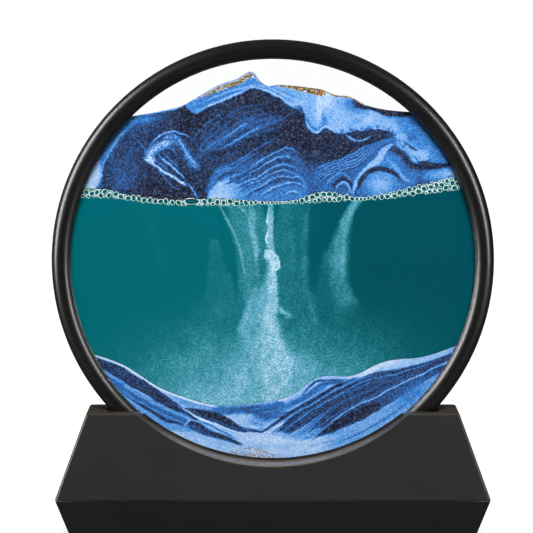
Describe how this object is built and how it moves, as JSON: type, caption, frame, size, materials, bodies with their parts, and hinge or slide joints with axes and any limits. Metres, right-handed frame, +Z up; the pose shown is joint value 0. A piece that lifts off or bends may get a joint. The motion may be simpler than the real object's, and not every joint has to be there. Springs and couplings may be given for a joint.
{
  "type": "moving sand picture",
  "caption": "Round moving-sand picture: a glass cell of liquid and layered sand in a ring that turns in the curved groove of a faceted desk base.",
  "frame": {"origin": "on the surface the feet stand on, below the middle of the base", "axes": "+Z up, viewer in front at -Y, +X to the viewer's right; the ring turns about the Y direction"},
  "size_m": [0.18, 0.0534, 0.202],
  "materials": {
    "ring_plastic": "satin black moulded plastic",
    "base_plastic": "fine satin black moulded plastic",
    "pane_glass": "clear polished",
    "silicone": "matt",
    "spacer_plastic": "matt",
    "tinted_liquid": "clear teal liquid",
    "blue_sand": "fine sand in navy, mid blue and pale blue layers",
    "white_sand": "pale falling grains",
    "gold_sand": "glittering ochre grains",
    "bubbles": "clear",
    "liner_foam": "matt soft liner",
    "steel": "zinc plated",
    "foot_rubber": "matt"
  },
  "bodies": {
    "base": {"base_shell": "base_plastic", "base_tray": "base_plastic", "groove_liner": "liner_foam", "ballast_plate": "steel", "ballast_screws": "steel", "tray_screws": "steel", "rubber_feet": "foot_rubber"},
    "frame": {"front_bezel": "ring_plastic", "rear_bezel": "ring_plastic", "front_glass": "pane_glass", "rear_glass": "pane_glass", "front_seal": "silicone", "rear_seal": "silicone", "cell_spacer": "spacer_plastic", "fill_plug": "silicone", "liquid": "tinted_liquid", "bubble_layer": "bubbles", "upper_sand": "blue_sand", "lower_sand": "blue_sand", "falling_sand": "white_sand", "gold_sand": "gold_sand"}
  },
  "joints": [
    {"name": "frame_spin", "type": "hinge", "parent": "base", "child": "frame", "pos_m": [0, 0, 0.112], "axis": [0, 1, 0], "continuous": true}
  ]
}
